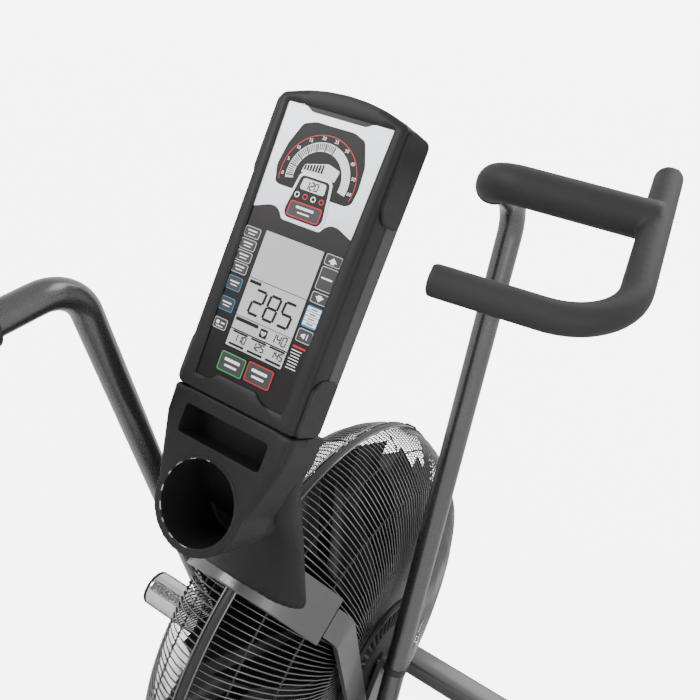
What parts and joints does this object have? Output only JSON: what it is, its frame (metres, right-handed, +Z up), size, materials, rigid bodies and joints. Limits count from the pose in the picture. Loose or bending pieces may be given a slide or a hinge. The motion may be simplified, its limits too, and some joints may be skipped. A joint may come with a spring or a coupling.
{
  "type": "air bike",
  "caption": "Upright exercise bike with a caged fan wheel driven by cranks, swinging arm levers with loop grips, foot pegs, console with cup holder, saddle and floor bars.",
  "frame": {"origin": "on the floor, under the middle of the whole bike's box", "axes": "+Z up, +Y towards the front of the bike, +X towards the rider's right"},
  "size_m": [0.68, 1.3465, 1.285],
  "materials": {
    "frame_paint": "satin",
    "lever_paint": "satin",
    "casing": "matte",
    "overlay": "satin",
    "keys": "satin",
    "wire": "gloss",
    "fan": "satin",
    "steel": "satin",
    "chrome": "polished",
    "rubber": "matte",
    "foam": "matte",
    "saddle_skin": "satin"
  },
  "bodies": {
    "frame": {"base_beam": "frame_paint", "belt_guard": "casing", "cage_band": "wire", "cage_left": "wire", "cage_right": "wire", "console_back": "casing", "console_front": "casing", "console_overlay": "overlay", "crank_bearing_left": "steel", "crank_bearing_right": "steel", "crank_plate_left": "frame_paint", "crank_plate_right": "frame_paint", "crown_plate": "frame_paint", "cup_housing": "casing", "drive_belt": "rubber", "fan_axle": "steel", "foot_front_left": "rubber", "foot_front_right": "rubber", "foot_peg_left": "chrome", "foot_peg_right": "chrome", "foot_rear_left": "rubber", "foot_rear_right": "rubber", "front_stabilizer": "frame_paint", "hub_cover_left": "casing", "hub_cover_right": "casing", "mast_left": "frame_paint", "mast_right": "frame_paint", "rear_stabilizer": "frame_paint", "seat_tube": "frame_paint", "side_leg_left": "frame_paint", "side_leg_right": "frame_paint"},
    "right_arm": {"lever_lower_right": "lever_paint", "lever_right": "lever_paint", "grip_right": "foam"},
    "left_arm": {"lever_lower_left": "lever_paint", "lever_left": "lever_paint", "grip_left": "foam"},
    "fan": {"fan_left": "fan", "fan_right": "fan", "fan_pulley": "steel"},
    "crank": {"crank_axle": "steel", "crank_pulley": "steel", "crank_web_left": "steel", "crank_web_right": "steel", "crank_arm_left": "steel", "crank_arm_right": "steel"},
    "pedal_r": {"pedal_right": "rubber"},
    "pedal_l": {"pedal_left": "rubber"},
    "link_r": {"link_rod_right": "frame_paint"},
    "link_l": {"link_rod_left": "frame_paint"},
    "seat_post": {"seat_post": "steel"},
    "saddle": {"saddle_slider": "steel", "saddle_shell": "casing", "saddle_pad": "saddle_skin"},
    "slider_knob": {"slider_knob": "rubber"},
    "seat_pin": {"seat_pin_knob": "rubber"},
    "start_button": {"start_key": "keys"},
    "stop_button": {"stop_key": "keys"},
    "transport_r": {"transport_wheel_right": "rubber"},
    "transport_l": {"transport_wheel_left": "rubber"}
  },
  "joints": [
    {"name": "right_arm_swing", "type": "hinge", "parent": "frame", "child": "right_arm", "pos_m": [0.1566, 0.2667, 0.3236], "axis": [1, 0, 0], "range_deg": [0, 32.7]},
    {"name": "left_arm_swing", "type": "hinge", "parent": "frame", "child": "left_arm", "pos_m": [-0.1566, 0.2667, 0.3236], "axis": [1, 0, 0], "range_deg": [-32.7, 0]},
    {"name": "crank_turn", "type": "hinge", "parent": "frame", "child": "crank", "pos_m": [0, -0.14, 0.27], "axis": [-1, 0, 0], "continuous": true},
    {"name": "fan_turn", "type": "hinge", "parent": "frame", "child": "fan", "pos_m": [0, 0.3155, 0.42], "axis": [-1, 0, 0], "continuous": true},
    {"name": "right_pedal_turn", "type": "hinge", "parent": "crank", "child": "pedal_r", "pos_m": [0.1963, -0.30249, 0.31999], "axis": [-1, 0, 0], "continuous": true},
    {"name": "left_pedal_turn", "type": "hinge", "parent": "crank", "child": "pedal_l", "pos_m": [-0.1963, 0.02249, 0.22001], "axis": [-1, 0, 0], "continuous": true},
    {"name": "right_link_turn", "type": "hinge", "parent": "crank", "child": "link_r", "pos_m": [0.1251, -0.18744, 0.28459], "axis": [-1, 0, 0], "continuous": true},
    {"name": "left_link_turn", "type": "hinge", "parent": "crank", "child": "link_l", "pos_m": [-0.1251, -0.09256, 0.25541], "axis": [-1, 0, 0], "continuous": true},
    {"name": "seat_height", "type": "slide", "parent": "frame", "child": "seat_post", "axis": [0, -0.2419, 0.9703], "range_m": [0, 0.2]},
    {"name": "saddle_shift", "type": "slide", "parent": "seat_post", "child": "saddle", "axis": [0, 1, 0], "range_m": [-0.05, 0.05]},
    {"name": "slider_knob_turn", "type": "hinge", "parent": "seat_post", "child": "slider_knob", "pos_m": [0.04, -0.44781, 0.76427], "axis": [1, 0, 0], "range_deg": [0, 180]},
    {"name": "seat_pin_pull", "type": "slide", "parent": "frame", "child": "seat_pin", "axis": [0, 0.9703, 0.2419], "range_m": [0, 0.012], "stiffness_N_per_m": 900},
    {"name": "start_press", "type": "slide", "parent": "frame", "child": "start_button", "axis": [0, 0.8466, -0.5323], "range_m": [0, 0.001], "stiffness_N_per_m": 900},
    {"name": "stop_press", "type": "slide", "parent": "frame", "child": "stop_button", "axis": [0, 0.8466, -0.5323], "range_m": [0, 0.001], "stiffness_N_per_m": 900},
    {"name": "right_transport_turn", "type": "hinge", "parent": "frame", "child": "transport_r", "pos_m": [0.28, 0.615, 0.036], "axis": [-1, 0, 0], "continuous": true},
    {"name": "left_transport_turn", "type": "hinge", "parent": "frame", "child": "transport_l", "pos_m": [-0.28, 0.615, 0.036], "axis": [-1, 0, 0], "continuous": true}
  ],
  "couplings": [
    {"joint": "left_arm_swing", "follows": "right_arm_swing", "ratio": -1},
    {"joint": "fan_turn", "follows": "crank_turn", "ratio": 3.8636},
    {"joint": "right_link_turn", "follows": "crank_turn", "ratio": -1},
    {"joint": "left_link_turn", "follows": "crank_turn", "ratio": -1}
  ]
}
